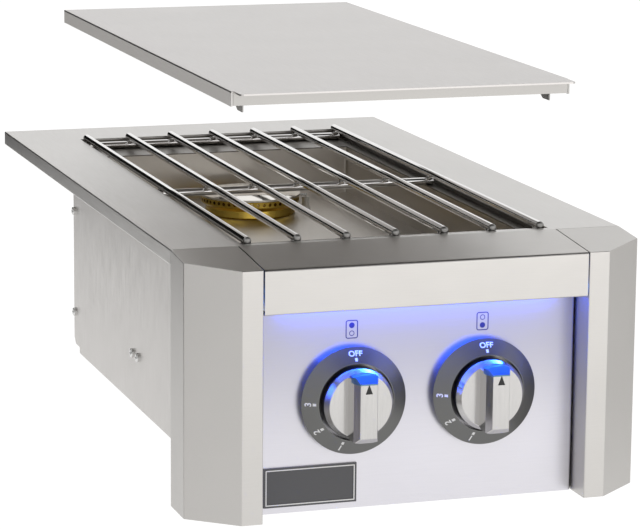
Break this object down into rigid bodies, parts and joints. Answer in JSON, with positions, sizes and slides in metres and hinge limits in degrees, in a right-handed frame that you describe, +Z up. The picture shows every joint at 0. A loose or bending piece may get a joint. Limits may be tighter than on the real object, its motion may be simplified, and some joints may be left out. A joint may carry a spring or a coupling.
{
  "type": "built in side burner",
  "caption": "Drop-in gas side burner with a flat frame, rod grate, brass burners, recessed panel with turning knobs and a lift-off lid.",
  "frame": {"origin": "the line where the countertop's upper plane meets the island's front wall, half way across the unit", "axes": "+X to the right seen from the front, +Y to the back, +Z up"},
  "size_m": [0.356, 0.6613, 0.3101],
  "materials": {
    "stainless": "brushed stainless",
    "housing_steel": "mill finish stainless",
    "polished_rod": "polished rod",
    "badge": "satin",
    "bezel": "satin gunmetal",
    "knob": "brushed",
    "pointer": "matt black",
    "steel": "plated",
    "brass": "machined brass",
    "cap": "polished",
    "cast_aluminium": "cast",
    "screw": "plain",
    "ceramic": "glazed",
    "lead": "silicone sleeve",
    "black_plastic": "moulded",
    "light_lens": "lit blue"
  },
  "bodies": {
    "housing": {"top_frame": "stainless", "left_column": "stainless", "right_column": "stainless", "header_fascia": "stainless", "control_panel": "stainless", "left_side_panel": "housing_steel", "right_side_panel": "housing_steel", "back_panel": "housing_steel", "base_plate": "housing_steel", "tub_ledge": "housing_steel", "burner_tub": "housing_steel", "tube_brace": "housing_steel", "badge_plate": "badge", "left_dial_bezel": "bezel", "right_dial_bezel": "bezel", "left_return_spring": "steel", "right_return_spring": "steel", "left_mixing_tube": "steel", "right_mixing_tube": "steel", "gas_manifold": "steel", "valve_clamps": "steel", "gas_supply_pipe": "steel", "igniter_electrodes": "steel", "front_burner_ring": "brass", "rear_burner_ring": "brass", "orifices": "brass", "gas_inlet_fitting": "brass", "left_gas_valve": "cast_aluminium", "right_gas_valve": "cast_aluminium", "front_burner_bowl": "cast_aluminium", "rear_burner_bowl": "cast_aluminium", "light_bar": "cast_aluminium", "side_screws": "screw", "valve_screws": "screw", "burner_screws": "screw", "base_screws": "screw", "igniter_insulators": "ceramic", "front_ignition_lead": "lead", "rear_ignition_lead": "lead", "light_lead": "lead", "spark_module": "black_plastic", "spark_switches": "black_plastic", "power_jack": "black_plastic", "light_lens": "light_lens"},
    "left_push": {"left_push_washer": "steel"},
    "left_knob_body": {"left_knob": "knob", "left_knob_pointer": "pointer", "left_valve_stem": "steel"},
    "right_push": {"right_push_washer": "steel"},
    "right_knob_body": {"right_knob": "knob", "right_knob_pointer": "pointer", "right_valve_stem": "steel"},
    "left_shutter": {"left_air_shutter": "steel"},
    "right_shutter": {"right_air_shutter": "steel"},
    "grate": {"grate_rods": "polished_rod", "grate_cross_bars": "polished_rod"},
    "lid_body": {"lid": "stainless", "lid_tabs": "stainless"},
    "front_cap": {"front_burner_cap": "cap"},
    "rear_cap": {"rear_burner_cap": "cap"}
  },
  "joints": [
    {"name": "grate_lift", "type": "slide", "parent": "housing", "child": "grate", "axis": [0, 0, 1], "range_m": [0, 0.1]},
    {"name": "lid_lift", "type": "slide", "parent": "grate", "child": "lid_body", "axis": [0, 0, 1], "range_m": [-0.104, 0.06]},
    {"name": "front_cap_lift", "type": "slide", "parent": "housing", "child": "front_cap", "axis": [0, 0, 1], "range_m": [0, 0.02]},
    {"name": "rear_cap_lift", "type": "slide", "parent": "housing", "child": "rear_cap", "axis": [0, 0, 1], "range_m": [0, 0.02]},
    {"name": "left_knob_push", "type": "slide", "parent": "housing", "child": "left_push", "axis": [0, 1, 0], "range_m": [0, 0.003], "stiffness_N_per_m": 1500, "springref_m": -0.004, "deforming": ["left_return_spring"]},
    {"name": "left_knob_turn", "type": "hinge", "parent": "left_push", "child": "left_knob_body", "pos_m": [-0.0514, -0.0417, -0.0989], "axis": [0, -1, 0], "range_deg": [0, 162]},
    {"name": "left_shutter_turn", "type": "hinge", "parent": "housing", "child": "left_shutter", "pos_m": [-0.0514, 0.024, -0.0989], "axis": [0, 1, 0], "range_deg": [-40, 40]},
    {"name": "right_knob_push", "type": "slide", "parent": "housing", "child": "right_push", "axis": [0, 1, 0], "range_m": [0, 0.003], "stiffness_N_per_m": 1500, "springref_m": -0.004, "deforming": ["right_return_spring"]},
    {"name": "right_knob_turn", "type": "hinge", "parent": "right_push", "child": "right_knob_body", "pos_m": [0.0514, -0.0417, -0.0989], "axis": [0, -1, 0], "range_deg": [0, 162]},
    {"name": "right_shutter_turn", "type": "hinge", "parent": "housing", "child": "right_shutter", "pos_m": [0.0514, 0.024, -0.0989], "axis": [0, 1, 0], "range_deg": [-40, 40]}
  ]
}
